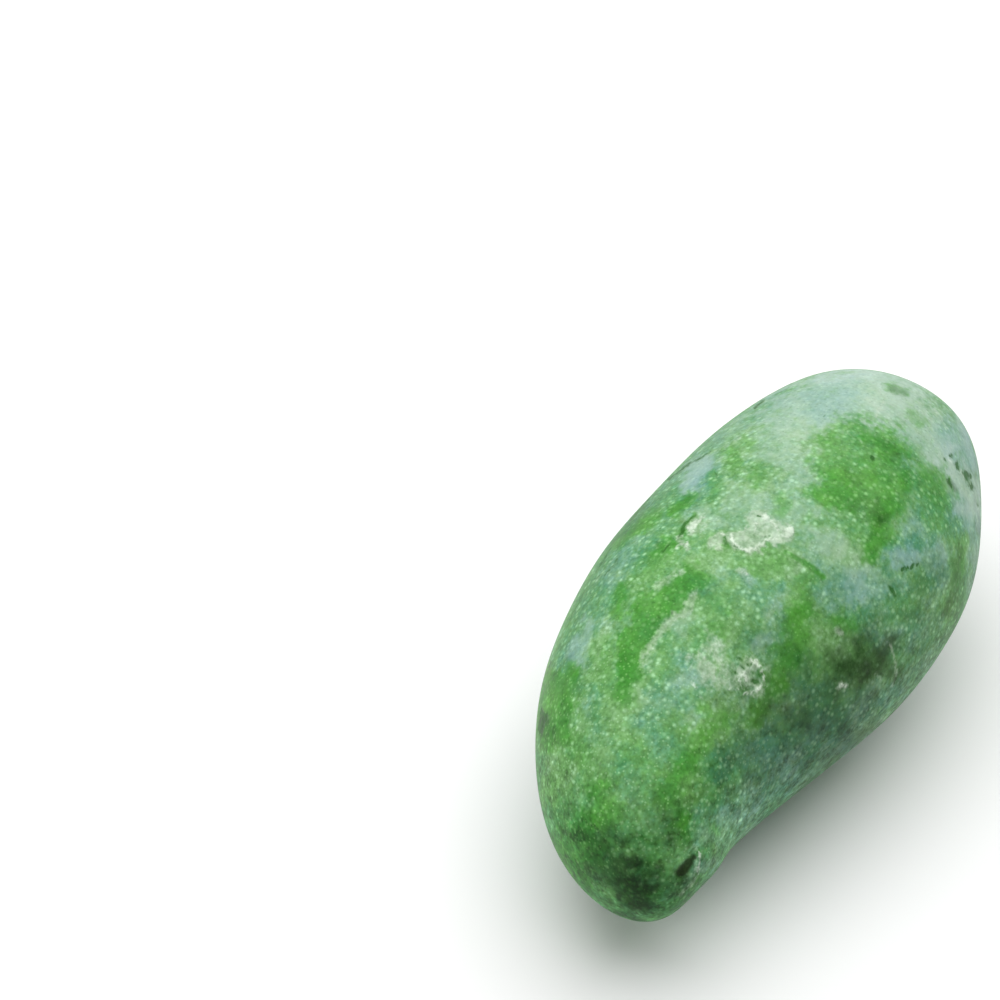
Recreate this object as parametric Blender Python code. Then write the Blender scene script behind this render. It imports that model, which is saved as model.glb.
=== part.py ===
"""A green mango lying on one cheek, with the dry end of its stalk in the stem cavity.

Metres, +Z up. +X runs along the fruit towards the stem end, +Y towards its rounded back,
and the belly with the beak scar is on the -Y side. The origin is under the middle of the
fruit, on the surface it lies on.
"""
import bmesh
import bpy
import numpy as np
from mathutils import Matrix, Vector

# Driving sizes of the fruit.
LENGTH = 0.155              # from the apex to the stem end
HALF_WIDTH = 0.0365         # from the middle line to the back or the belly, before the changes below
HALF_HEIGHT = 0.035         # from the middle line to the upper or the lower cheek, likewise
BACK_FULLNESS = 0.03        # how much thicker the fruit is on the back's side than on the belly's

# How a size changes along the fruit: each row holds the share of one slope, of one bow,
# of one wave and of one double wave, and swing() adds them up.
WIDTH_SWING = (0.15, 0.052, -0.014, 0.042)
HEIGHT_SWING = (0.0, 0.04, -0.04)
SIDE_SWING = (-0.0067, -0.0028, 0.0031, -0.0016)    # the middle line, towards the back
RISE_SWING = (0.0043, -0.0005, 0.0005)              # the middle line, upwards

# Broad unevenness of the cheeks: height, waves per metre along each axis, and start.
SWELLS = (
    (0.00022, (95.0, 60.0, 20.0), 0.6),
    (0.00018, (-60.0, 110.0, 45.0), 2.1),
    (0.00014, (140.0, -40.0, 120.0), 4.0),
)

# The stem end: a shallow cavity, a low collar, and a socket that the stub stands in.
CAVITY_RADIUS = 0.011
CAVITY_DEPTH = 0.0014
COLLAR_RADIUS = 0.0046
COLLAR_WIDTH = 0.0016
COLLAR_HEIGHT = 0.0007
SOCKET_RADIUS = 0.0032
SOCKET_DEPTH = 0.0016
GAP = 0.0003                # between the stub and the socket's wall and floor

# The stub: distance above its foot and radius, from the foot up its domed end.
STUB_PROFILE = (
    (0.0, 0.0027),
    (0.0003, 0.0029),
    (0.0016, 0.0029),
    (0.0023, 0.0032),
    (0.0029, 0.0031),
    (0.0035, 0.0026),
    (0.0039, 0.0018),
    (0.0041, 0.0009),
)
STUB_TOP = 0.0040           # the middle of the dome, a little sunk where the fibres end
STUB_SECTORS = 24
STUB_LOBES = 5              # ridges of fibre round it
STUB_LOBE_SHARE = 0.035

# Relief near the apex, each along a line from one place on the fruit to another, a place
# being its turn and its angle (see body): the reach to each side, and the height.
RELIEF_LINES = {
    "beak_scar": ((2.77, 2.67), (2.65, 2.70), 0.0014, -0.0005),
    "lip_beside_scar": ((2.70, 2.95), (2.61, 2.89), 0.0012, 0.0004),
    "nose_of_belly": ((2.56, 3.14), (2.45, 3.45), 0.0055, 0.0009),
}

# The spot it lies on is pressed flat by this much.
FLAT_DEPTH = 0.0005

SECTORS = 64
BODY_RINGS = 50
STEM_RING_RADII = (0.0032, 0.0039, 0.0047, 0.0058, 0.0074, 0.0094, 0.0120)
CIRCLE_FADE = 0.75          # rings nearer to the stem than this turn become circles
STEP = 1e-4                 # for slopes of the skin


def clear_scene():
    for thing in list(bpy.data.objects):
        bpy.data.objects.remove(thing, do_unlink=True)


def swing(turn, shares):
    """The sum of the shares' waves at a turn, from 0 at the stem end to pi at the apex."""
    return sum(share * np.cos((n + 1) * turn) for n, share in enumerate(shares))


def body(turn, angle):
    """A point of the bare form: turn is along the fruit, angle is round it from the back upwards."""
    width = HALF_WIDTH * np.sin(turn) * (1.0 + swing(turn, WIDTH_SWING))
    height = HALF_HEIGHT * np.sin(turn) * (1.0 + swing(turn, HEIGHT_SWING))
    up = np.sin(angle) * (1.0 + BACK_FULLNESS * np.cos(angle))
    x = LENGTH / 2.0 * np.cos(turn) + 0.0 * angle
    y = swing(turn, SIDE_SWING) + width * np.cos(angle)
    z = HALF_HEIGHT + swing(turn, RISE_SWING) + height * up
    return np.stack([x, y, z], axis=-1)


def outward(turn, angle):
    along = body(turn + STEP, angle) - body(turn - STEP, angle)
    round_it = body(turn, angle + STEP) - body(turn, angle - STEP)
    normal = np.cross(along, round_it)
    return normal / np.linalg.norm(normal, axis=-1, keepdims=True)


def hump(distance):
    """A smooth bump, 1 at no distance and nearly 0 at twice the reach."""
    return np.exp(-distance ** 2)


def stem_point():
    return body(np.float64(0.0), np.float64(0.0))


def swell(points):
    total = np.zeros(points.shape[:-1])
    for height, waves, start in SWELLS:
        total = total + height * np.sin(points @ np.array(waves) + start)
    return total


def distance_to_line(points, start, end):
    """How far each point is from the straight line between two places of the bare form."""
    first = body(np.float64(start[0]), np.float64(start[1]))
    way = body(np.float64(end[0]), np.float64(end[1])) - first
    share = np.clip((points - first) @ way / (way @ way), 0.0, 1.0)
    return np.linalg.norm(points - first - share[..., None] * way, axis=-1)


def line_relief(points):
    total = np.zeros(points.shape[:-1])
    for start, end, reach, height in RELIEF_LINES.values():
        total = total + height * hump(distance_to_line(points, start, end) / reach)
    return total


def stem_relief(points):
    """The cavity and the collar, as heights along +X by distance from the stem's axis."""
    middle = stem_point()
    distance = np.hypot(points[..., 1] - middle[1], points[..., 2] - middle[2])
    near = points[..., 0] > 0.0
    cavity = -CAVITY_DEPTH * hump(distance / CAVITY_RADIUS)
    collar = COLLAR_HEIGHT * hump((distance - COLLAR_RADIUS) / COLLAR_WIDTH)
    return np.where(near, cavity + collar, 0.0)


def skin(turn, angle):
    points = body(turn, angle)
    relief = swell(points) * np.sin(turn) + line_relief(points)
    points = points + relief[..., None] * outward(turn, angle)
    points[..., 0] += stem_relief(points)
    return points


def ring_turns(angle):
    """The turn of every ring at every sector, from the socket's rim to the ring beside the apex."""
    edge = body(np.float64(0.01), angle) - body(np.float64(0.01), angle + np.pi)
    reach = np.hypot(edge[..., 1], edge[..., 2]) / 2.0 / np.sin(0.01)
    stem_turns = np.array([radius / reach.mean() for radius in STEM_RING_RADII])
    body_turns = np.linspace(stem_turns[-1], np.pi, BODY_RINGS + 1)[1:-1]
    turns = np.concatenate([stem_turns, body_turns])[:, None]
    fade = np.clip(1.0 - turns / CIRCLE_FADE, 0.0, 1.0) ** 2
    return turns * (1.0 + fade * (reach.mean() / reach - 1.0))


def add_object(name, vertices, faces, material):
    mesh = bpy.data.meshes.new(name)
    mesh.from_pydata([tuple(map(float, v)) for v in vertices], [], faces)
    shape = bmesh.new()
    shape.from_mesh(mesh)
    bmesh.ops.recalc_face_normals(shape, faces=shape.faces)
    shape.to_mesh(mesh)
    shape.free()
    mesh.validate()
    for face in mesh.polygons:
        face.use_smooth = True
    thing = bpy.data.objects.new(name, mesh)
    thing.data.materials.append(material)
    bpy.context.collection.objects.link(thing)
    return thing


def make_material(name, colour, roughness):
    material = bpy.data.materials.new(name)
    material.use_nodes = True
    shader = material.node_tree.nodes["Principled BSDF"]
    shader.inputs["Base Color"].default_value = (*colour, 1.0)
    shader.inputs["Roughness"].default_value = roughness
    return material


def bridge(first, second, count):
    """The faces between two rings that start at the given vertex numbers."""
    faces = []
    for i in range(count):
        j = (i + 1) % count
        faces.append((first + i, first + j, second + j, second + i))
    return faces


def fan(centre, ring, count):
    return [(centre, ring + i, ring + (i + 1) % count) for i in range(count)]


def build_fruit(material):
    angle = np.linspace(0.0, 2.0 * np.pi, SECTORS, endpoint=False)[None, :]
    turns = ring_turns(angle)
    rings = skin(turns, angle + 0.0 * turns)
    apex = skin(np.array([np.pi - STEP]), np.array([0.0]))[0]

    # The socket: its rim is made a true circle, and its wall and floor go straight in from it.
    middle = stem_point()
    aside = rings[0, :, 1:] - middle[1:]
    aside = aside / np.linalg.norm(aside, axis=-1, keepdims=True) * SOCKET_RADIUS
    rings[0, :, 1:] = middle[1:] + aside
    floor_x = rings[0, :, 0].min() - SOCKET_DEPTH
    floor_ring = rings[0].copy()
    floor_ring[:, 0] = floor_x
    floor_centre = np.array([floor_x, middle[1], middle[2]])

    lowest = rings[..., 2].min() + FLAT_DEPTH
    vertices = np.concatenate([[floor_centre], floor_ring, rings.reshape(-1, 3), [apex]])
    vertices[:, 2] = np.maximum(vertices[:, 2] - lowest, 0.0)

    ring_count = len(rings) + 1
    faces = fan(0, 1, SECTORS)
    for i in range(ring_count - 1):
        faces += bridge(1 + i * SECTORS, 1 + (i + 1) * SECTORS, SECTORS)
    faces += fan(len(vertices) - 1, 1 + (ring_count - 1) * SECTORS, SECTORS)
    fruit = add_object("fruit", vertices, faces, material)
    return fruit, Vector(vertices[0])


def build_stub(material, floor_centre):
    """The stub stands along +X on the socket's floor, a gap above it."""
    foot = floor_centre + Vector((GAP, 0.0, 0.0))
    vertices = [foot]
    for height, radius in STUB_PROFILE:
        share = height / STUB_TOP
        for i in range(STUB_SECTORS):
            angle = 2.0 * np.pi * i / STUB_SECTORS
            lobed = radius * (1.0 + STUB_LOBE_SHARE * share * np.cos(STUB_LOBES * angle))
            vertices.append(foot + Vector((height, lobed * np.cos(angle), lobed * np.sin(angle))))
    vertices.append(foot + Vector((STUB_TOP, 0.0, 0.0)))
    ring_count = len(STUB_PROFILE)
    faces = fan(0, 1, STUB_SECTORS)
    for i in range(ring_count - 1):
        faces += bridge(1 + i * STUB_SECTORS, 1 + (i + 1) * STUB_SECTORS, STUB_SECTORS)
    faces += fan(len(vertices) - 1, 1 + (ring_count - 1) * STUB_SECTORS, STUB_SECTORS)
    return add_object("stem_stub", vertices, faces, material)


def centre_on_origin(things):
    """Moves the meshes so that the middle of their common box is over the origin."""
    points = [vertex.co for thing in things for vertex in thing.data.vertices]
    middle_x = (min(p.x for p in points) + max(p.x for p in points)) / 2.0
    middle_y = (min(p.y for p in points) + max(p.y for p in points)) / 2.0
    for thing in things:
        thing.data.transform(Matrix.Translation((-middle_x, -middle_y, 0.0)))


def main():
    clear_scene()
    skin_material = make_material("mango_skin", (0.10, 0.26, 0.08), 0.5)
    wood_material = make_material("dry_stalk", (0.12, 0.07, 0.04), 0.8)
    fruit, floor_centre = build_fruit(skin_material)
    stub = build_stub(wood_material, floor_centre)
    centre_on_origin((fruit, stub))


main()
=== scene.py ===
import bpy
import numpy as np
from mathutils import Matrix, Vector


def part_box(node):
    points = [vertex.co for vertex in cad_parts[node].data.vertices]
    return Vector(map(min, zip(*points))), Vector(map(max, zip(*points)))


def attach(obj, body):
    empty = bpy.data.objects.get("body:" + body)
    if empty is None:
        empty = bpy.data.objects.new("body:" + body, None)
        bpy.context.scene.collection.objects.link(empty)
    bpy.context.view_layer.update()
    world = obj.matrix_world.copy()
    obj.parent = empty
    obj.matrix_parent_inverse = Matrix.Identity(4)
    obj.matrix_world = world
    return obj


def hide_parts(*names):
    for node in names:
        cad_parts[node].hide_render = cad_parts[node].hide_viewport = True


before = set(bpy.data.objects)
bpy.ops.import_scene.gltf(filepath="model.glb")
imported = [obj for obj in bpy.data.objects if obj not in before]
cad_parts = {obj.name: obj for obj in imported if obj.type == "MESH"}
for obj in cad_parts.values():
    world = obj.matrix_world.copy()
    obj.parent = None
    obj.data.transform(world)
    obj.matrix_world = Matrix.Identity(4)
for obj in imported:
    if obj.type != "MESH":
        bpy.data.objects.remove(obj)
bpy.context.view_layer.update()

# Lengths are in metres and angles in radians where nothing else is said, in the frame's axes:
# +X along the fruit to its stem end, +Y to its rounded back, +Z up.

# The camera, with the photograph's own view.
CAMERA_AT = (-0.4042, -0.1129, 0.4575)
CAMERA_HEADING = 23.43      # degrees from +X towards +Y
CAMERA_DOWN = 43.0          # degrees below level
SENSOR_WIDTH = 36.0         # millimetres
FOCAL_PIXELS = 2735.0       # focal length in pixels of the photograph
PHOTO_WIDTH = 1000.0        # pixels

# The form of the fruit, as in the solid that it replaces. A turn runs along it, from 0 at the stem
# end to pi at the apex, and an angle runs round it, from 0 at the back upwards.
LENGTH = 0.155
HALF_WIDTH = 0.0365
HALF_HEIGHT = 0.035
BACK_FULLNESS = 0.03
WIDTH_SWING = (0.15, 0.052, -0.014, 0.042)
HEIGHT_SWING = (0.0, 0.04, -0.04)
SIDE_SWING = (-0.0067, -0.0028, 0.0031, -0.0016)
RISE_SWING = (0.0043, -0.0005, 0.0005)
SWELLS = (                  # height, radians per metre along each axis, and start
    (0.00022, (95.0, 60.0, 20.0), 0.6),
    (0.00018, (-60.0, 110.0, 45.0), 2.1),
    (0.00014, (140.0, -40.0, 120.0), 4.0),
)
CAVITY_RADIUS = 0.011
CAVITY_DEPTH = 0.0014
COLLAR_RADIUS = 0.0046
COLLAR_WIDTH = 0.0016
COLLAR_HEIGHT = 0.0007
SOCKET_RADIUS = 0.0028
SOCKET_DEPTH = 0.0012
RELIEF_LINES = {            # turn and angle of both ends, reach and height
    "beak_scar": ((2.77, 2.67), (2.65, 2.70), 0.0014, -0.0005),
    "lip_beside_scar": ((2.70, 2.95), (2.61, 2.89), 0.0012, 0.0004),
    "nose_of_belly": ((2.56, 3.14), (2.45, 3.45), 0.0055, 0.0009),
}
FLAT_DEPTH = 0.0005
STEP = 1e-4                 # the small turn or angle over which a slope is taken
NEAR_END = 0.01             # the turn at which the width beside the stem is measured
CIRCLE_FADE = 0.75          # the turn from which rings are plain sections and no longer circles
TINY = 1e-6                 # keeps a division from running into 0

# How finely the fruit's mesh is cut.
RINGS = 340
SECTORS = 290
FINER_ON_TOP = 0.30         # how much closer the sectors are on top, and wider apart underneath
FINER_AT_MIDDLE = 0.10      # the same for the rings half-way along

# Marks on the side that the photograph shows, placed by its pixels: each row is the two ends
# of a stroke, its reach to each side in pixels, and its strength.
RUBBED = (
    (835, 446, 838, 482, 33, 0.5), (866, 438, 892, 452, 25, 0.85), (845, 488, 900, 486, 33, 0.95),
    (828, 494, 850, 502, 24, 1), (882, 508, 878, 536, 23, 0.9), (875, 540, 870, 556, 15, 0.9),
    (905, 448, 922, 450, 12, 0.3), (928, 476, 941, 500, 20, 0.65), (933, 508, 942, 522, 16, 0.45),
    (889, 386, 906, 393, 7, 0.45), (781, 500, 784, 512, 13, 0.45), (962, 540, 957, 582, 11, 0.6),
    (952, 594, 946, 614, 11, 0.4), (806, 584, 800, 616, 19, 0.65), (800, 616, 795, 648, 24, 0.9),
    (792, 652, 774, 690, 20, 0.8), (768, 694, 755, 718, 15, 0.75), (726, 718, 706, 730, 17, 0.6),
    (700, 738, 684, 762, 21, 0.75), (684, 764, 668, 792, 21, 0.7), (838, 620, 852, 622, 16, 0.8),
    (695, 578, 666, 600, 18, 1.5), (666, 600, 644, 622, 20, 1.5), (644, 622, 631, 650, 19, 1.6),
    (622, 588, 617, 612, 11, 0.8), (641, 596, 640, 608, 8, 0.8), (621, 704, 632, 716, 22, 0.25),
    (712, 602, 720, 606, 20, 0.45), (716, 630, 722, 631, 12, 0.6), (697, 642, 702, 638, 11, 0.5),
    (702, 706, 706, 712, 12, 0.5), (642, 756, 650, 766, 20, 0.3), (558, 684, 561, 718, 16, 1.5),
    (561, 730, 562, 738, 12, 1), (578, 745, 584, 752, 16, 0.4), (606, 772, 612, 780, 23, 0.2),
    (600, 798, 598, 812, 29, 0.75), (586, 828, 590, 852, 26, 0.9), (648, 766, 642, 786, 22, 0.3),
    (684, 820, 680, 828, 18, 0.9), (714, 799, 716, 801, 9, 0.5), (712, 826, 715, 830, 9, 0.5),
    (690, 499, 673, 513, 10, 0.95), (655, 514, 638, 527, 11, 0.9), (638, 527, 618, 541, 10, 0.9),
    (667, 543, 659, 551, 10, 0.95), (730, 452, 733, 458, 13, 0.45), (744, 441, 750, 446, 11, 0.3),
    (716, 474, 712, 492, 11, 0.4), (754, 476, 760, 482, 11, 0.45), (760, 562, 770, 560, 23, 0.4),
    (724, 541, 727, 545, 6, 0.9), (604, 896, 640, 906, 15, 0.3), (690, 888, 700, 876, 7, 0.5),
    (655, 555, 648, 566, 15, 0.55), (608, 640, 604, 668, 12, 0.35), (596, 560, 610, 548, 11, 0.45),
    (900, 600, 912, 612, 17, 0.4), (556, 704, 560, 724, 15, 1.6), (566, 690, 572, 672, 14, 0.9),
    (640, 525, 618, 546, 9, 0.8), (548, 690, 546, 740, 12, 1.5), (560, 850, 580, 880, 26, 0.9),
    (566, 806, 562, 836, 18, 0.35), (786, 552, 804, 563, 3.2, 0.8), (804, 563, 822, 576, 4.2, 1),
    (680, 536, 668, 552, 6, 0.8), (694, 517, 683, 531, 5, 0.9), (552, 678, 560, 700, 12, 1.6),
    (550, 684, 548, 730, 9, 1.6), (630, 650, 628, 674, 15, 1.5), (628, 676, 624, 698, 16, 0.8),
    (911, 412, 920, 423, 10, 0.3),
)
# Wax bloom. The strokes along the top and right rims also paint the pale reflection of the white
# surroundings there, so these marks are partly painted reflection.
BLOOM_AND_RIM_REFLECTION = (
    (792, 408, 900, 384, 56, 0.8), (900, 400, 940, 440, 46, 0.75), (945, 452, 970, 505, 26, 0.85),
    (968, 505, 972, 560, 12, 0.5), (705, 462, 690, 480, 17, 0.85), (716, 440, 740, 424, 16, 0.5),
    (770, 440, 800, 470, 36, 0.6), (740, 500, 800, 520, 34, 0.55), (836, 546, 815, 536, 20, 0.6),
    (900, 560, 912, 556, 17, 0.7), (944, 556, 938, 548, 14, 0.6), (858, 580, 852, 590, 26, 0.6),
    (757, 646, 764, 640, 12, 0.5), (772, 622, 776, 612, 14, 0.3), (678, 682, 690, 676, 14, 0.5),
    (676, 628, 686, 618, 12, 0.5), (640, 800, 640, 802, 12, 0.3), (706, 836, 735, 812, 17, 0.5),
    (735, 812, 790, 768, 22, 0.28), (800, 780, 870, 730, 24, 0.35), (692, 815, 698, 812, 10, 0.4),
    (860, 708, 900, 690, 22, 0.25), (626, 560, 610, 585, 12, 0.35), (610, 620, 600, 650, 10, 0.2),
    (576, 640, 566, 680, 9, 0.5), (640, 775, 628, 790, 9, 0.35), (700, 560, 730, 575, 16, 0.15),
    (650, 700, 690, 720, 26, 0.3), (600, 730, 610, 750, 18, 0.3), (745, 575, 748, 577, 9, 0.6),
    (712, 860, 700, 872, 9, 0.6), (735, 545, 760, 552, 13, 0.25), (600, 770, 575, 800, 10, 0.25),
    (708, 446, 664, 488, 7, 0.3), (650, 504, 610, 556, 6, 0.15), (600, 571, 566, 640, 6, 0.15),
    (690, 880, 700, 862, 8, 0.5), (732, 846, 760, 824, 10, 0.4), (840, 560, 880, 580, 30, 0.45),
    (800, 560, 830, 580, 26, 0.35), (900, 500, 915, 530, 18, 0.45), (620, 712, 640, 700, 26, 0.45),
    (650, 745, 670, 760, 22, 0.3), (930, 560, 950, 580, 20, 0.4), (600, 760, 640, 790, 30, 0.35),
    (560, 760, 580, 790, 20, 0.3), (700, 480, 690, 500, 14, 0.4), (560, 690, 575, 640, 8, 0.4),
    (960, 420, 976, 470, 9, 0.8), (977, 480, 981, 530, 8, 0.8), (980, 540, 970, 590, 7, 0.5),
    (588, 622, 580, 668, 9, 0.55), (632, 538, 606, 575, 9, 0.4), (820, 378, 880, 372, 14, 0.9),
    (586, 700, 592, 740, 10, 0.4), (720, 470, 740, 500, 12, 0.3), (705, 520, 735, 526, 14, 0.5),
    (690, 516, 706, 510, 12, 0.5), (575, 712, 582, 745, 14, 0.3),
)
TEALED = (
    (896, 556, 924, 540, 24, 1), (828, 588, 862, 592, 26, 0.8), (774, 596, 786, 650, 20, 0.5),
    (702, 586, 716, 612, 18, 0.8), (684, 662, 696, 684, 18, 0.8), (650, 722, 664, 746, 18, 0.7),
    (722, 768, 768, 752, 24, 0.9), (772, 752, 826, 728, 28, 0.9), (826, 728, 880, 700, 26, 0.5),
    (700, 822, 726, 806, 20, 0.5), (736, 810, 800, 776, 24, 0.35), (800, 776, 880, 738, 22, 0.3),
    (562, 664, 576, 642, 14, 0.8), (632, 564, 646, 540, 14, 0.8), (698, 484, 712, 468, 16, 0.9),
    (946, 428, 972, 460, 20, 0.65), (918, 522, 932, 508, 14, 0.7), (952, 510, 966, 530, 18, 0.8),
    (700, 850, 690, 864, 12, 0.7), (870, 606, 900, 590, 26, 0.7), (610, 590, 596, 620, 14, 0.6),
    (820, 400, 840, 396, 26, 0.6), (810, 690, 826, 702, 20, 0.6), (930, 580, 944, 560, 16, 0.6),
    (880, 640, 905, 625, 24, 0.6), (590, 690, 600, 720, 14, 0.5), (620, 760, 628, 790, 16, 0.4),
    (660, 690, 680, 700, 20, 0.6), (750, 640, 764, 640, 14, 0.5), (746, 580, 770, 590, 20, 0.6),
    (650, 500, 690, 470, 20, 0.5), (600, 560, 630, 520, 16, 0.5), (740, 410, 780, 395, 22, 0.4),
    (660, 520, 700, 490, 20, 0.5), (700, 460, 720, 440, 18, 0.4), (628, 542, 602, 584, 14, 0.7),
    (588, 610, 576, 660, 12, 0.6), (905, 430, 915, 490, 12, 0.2),
)
WARMED = (
    (722, 462, 742, 444, 18, 0.3), (740, 480, 766, 478, 20, 0.3), (752, 564, 790, 562, 20, 0.8),
    (791, 604, 812, 612, 20, 0.7), (548, 792, 566, 764, 18, 0.7), (614, 712, 634, 690, 22, 0.8),
    (700, 560, 720, 550, 18, 0.5), (640, 580, 660, 560, 18, 0.5), (800, 440, 830, 450, 26, 0.3),
    (700, 604, 730, 630, 20, 0.6), (560, 700, 570, 740, 20, 0.6), (700, 740, 720, 720, 20, 0.6),
    (690, 780, 676, 800, 22, 0.5), (880, 396, 920, 410, 22, 0.15), (590, 760, 610, 800, 26, 0.5),
    (845, 550, 880, 552, 18, 0.4), (600, 640, 604, 680, 16, 0.5), (548, 690, 546, 740, 16, 1),
    (552, 678, 556, 730, 14, 1), (962, 540, 950, 616, 10, 0.4), (860, 735, 900, 712, 14, 0.7),
    (800, 790, 840, 760, 12, 0.5), (832, 650, 876, 664, 30, 0.6),
)
# Bruises and painted shade: darker skin where it is bruised, and painted shade on the lower right side and
# round the apex, which face away from the light.
SHADED = (
    (845, 662, 878, 655, 38, 0.76), (842, 684, 862, 690, 24, 0.45), (768, 714, 806, 722, 30, 0.56),
    (806, 722, 850, 716, 30, 0.47), (735, 760, 760, 748, 26, 0.19), (655, 862, 668, 874, 24, 0.43),
    (666, 818, 668, 836, 24, 0.35), (658, 796, 664, 808, 14, 0.43), (690, 880, 676, 900, 24, 0.37),
    (880, 520, 885, 517, 8, 0.5), (877, 505, 879, 512, 9, 0.31), (852, 474, 858, 480, 10, 0.19),
    (888, 446, 892, 454, 10, 0.19), (800, 660, 790, 690, 30, 0.25), (912, 610, 935, 580, 30, 0.19),
    (700, 800, 716, 790, 26, 0.22), (900, 640, 925, 630, 30, 0.19), (820, 700, 800, 745, 28, 0.22),
    (630, 830, 650, 842, 26, 0.31), (950, 482, 955, 490, 4, 0.5), (600, 840, 590, 850, 26, 0.35),
    (958, 548, 952, 600, 7, 0.3), (872, 650, 860, 672, 46, 0.48), (660, 838, 640, 846, 26, 0.37),
    (750, 760, 840, 712, 52, 0.48), (820, 690, 860, 680, 50, 0.38), (730, 700, 760, 690, 30, 0.3),
    (800, 760, 860, 740, 40, 0.5), (560, 850, 590, 890, 34, 0.25), (596, 512, 640, 500, 16, 0.3),
    (952, 596, 945, 616, 6, 0.55), (858, 508, 872, 516, 14, 0.2), (866, 448, 870, 452, 8, 0.15),
    (780, 720, 790, 740, 18, 0.25), (820, 705, 832, 716, 16, 0.25), (606, 858, 630, 872, 42, 0.66),
    (820, 600, 845, 640, 30, 0.18), (755, 690, 790, 660, 26, 0.2), (660, 812, 690, 840, 26, 0.18),
    (820, 750, 850, 735, 24, 0.3), (648, 884, 644, 896, 26, 0.4), (545, 716, 541, 734, 8, 0.4),
    (796, 706, 826, 726, 13, 0.3), (772, 738, 788, 742, 12, 0.25), (846, 706, 862, 712, 12, 0.25),
    (630, 880, 640, 899, 37, 1), (636, 884, 640, 896, 20, 0.45), (606, 872, 628, 890, 34, 0.55),
    (800, 690, 870, 680, 56, 0.38), (760, 700, 800, 690, 40, 0.34), (760, 640, 800, 650, 36, 0.28),
    (905, 680, 935, 640, 28, 0.24), (830, 765, 870, 740, 28, 0.44), (650, 815, 660, 835, 28, 0.36),
    (660, 870, 676, 890, 26, 0.52), (612, 540, 640, 512, 12, 0.2), (846, 668, 872, 672, 22, 0.72),
    (892, 388, 904, 393, 5, 0.3),
)
FILMED = (
    (737, 541, 752, 530, 12, 1.5), (748, 544, 760, 541, 12, 1.5), (757, 531, 768, 523, 15, 1.5),
    (770, 536, 783, 532, 13, 1.5), (712, 545, 719, 544, 8, 0.55), (692, 526, 700, 521, 10, 0.65),
    (677, 541, 684, 545, 7, 0.7), (706, 664, 715, 674, 24, 0.7), (698, 680, 710, 684, 12, 0.35),
    (703, 647, 716, 646, 11, 0.5), (730, 664, 736, 684, 14, 0.55), (748, 668, 752, 686, 17, 0.65),
    (836, 633, 838, 635, 6, 0.7), (839, 686, 843, 686, 5, 0.6), (744, 573, 748, 577, 7, 0.5),
    (652, 648, 645, 662, 8, 0.35), (658, 585, 680, 571, 6, 0.35), (868, 600, 872, 604, 6, 0.3),
    (742, 536, 776, 534, 13, 1.5), (786, 532, 788, 531, 9, 1.1), (714, 545, 720, 542, 9, 0.9),
    (757, 524, 764, 524, 10, 1.4), (706, 670, 710, 674, 17, 0.85), (695, 522, 700, 525, 7, 0.6),
)
RIDGED = (
    (733, 536, 735, 544, 3.6, 0.7), (735, 545, 744, 549, 3.8, 0.7), (744, 549, 757, 548, 3.8, 0.8),
    (757, 548, 766, 543, 3.8, 0.6), (766, 543, 776, 538, 3.6, 0.5), (763, 518, 771, 519, 3.4, 0.8),
    (771, 519, 776, 529, 3.2, 0.6), (783, 533, 790, 530, 5.5, 1), (786, 536, 790, 534, 4, 0.8),
    (756, 523, 753, 531, 3.2, 0.55), (691, 528, 697, 523, 4.4, 0.9), (697, 523, 703, 519, 3.6, 0.8),
    (676, 538, 681, 535, 3, 0.8), (681, 545, 686, 542, 3.8, 0.9), (676, 549, 678, 546, 3, 0.7),
    (722, 536, 724, 537, 3, 0.7), (748, 659, 756, 662, 3.2, 0.7), (753, 665, 761, 668, 3, 0.6),
    (744, 671, 747, 681, 3, 0.65), (762, 671, 765, 684, 3, 0.6), (754, 690, 761, 686, 3.2, 0.7),
    (745, 695, 750, 692, 3.2, 0.65), (733, 676, 738, 682, 2.8, 0.6), (729, 690, 738, 690, 2.8, 0.5),
    (690, 657, 698, 653, 3.2, 0.5), (690, 682, 697, 688, 2.8, 0.5), (739, 680, 742, 690, 2.8, 0.6),
    (836, 633, 837, 634, 3, 0.8), (840, 686, 843, 686, 3, 0.8), (742, 572, 747, 576, 3, 0.5),
    (947, 458, 953, 466, 2.6, 0.4), (961, 470, 964, 480, 2.6, 0.4), (699, 853, 697, 873, 2.6, 0.7),
)
SCRATCHED = (
    (697, 594, 685, 608, 5.6, 0.68), (685, 607, 675, 618, 7.7, 0.9), (675, 618, 664, 627, 5.6, 0.81),
    (664, 627, 652, 640, 6, 0.77), (652, 640, 645, 652, 6.6, 0.72), (645, 652, 640, 671, 6, 0.36),
    (654, 587, 664, 578, 4.1, 0.45), (664, 578, 682, 571, 5.3, 0.45), (889, 645, 896, 656, 3, 0.63),
    (896, 656, 896, 670, 3, 0.54), (896, 670, 892, 687, 3, 0.45), (876, 676, 882, 679, 3, 0.54),
    (694, 846, 702, 858, 3.5, 0.4), (695, 858, 694, 880, 4.1, 0.4), (694, 880, 681, 896, 4.1, 0.4),
    (740, 436, 716, 452, 3.2, 0.45), (612, 560, 596, 580, 2.7, 0.36), (884, 402, 875, 416, 3, 0.63),
    (866, 396, 880, 408, 2.7, 0.45), (846, 432, 862, 444, 2.7, 0.36), (930, 404, 948, 428, 3, 0.45),
)
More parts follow.
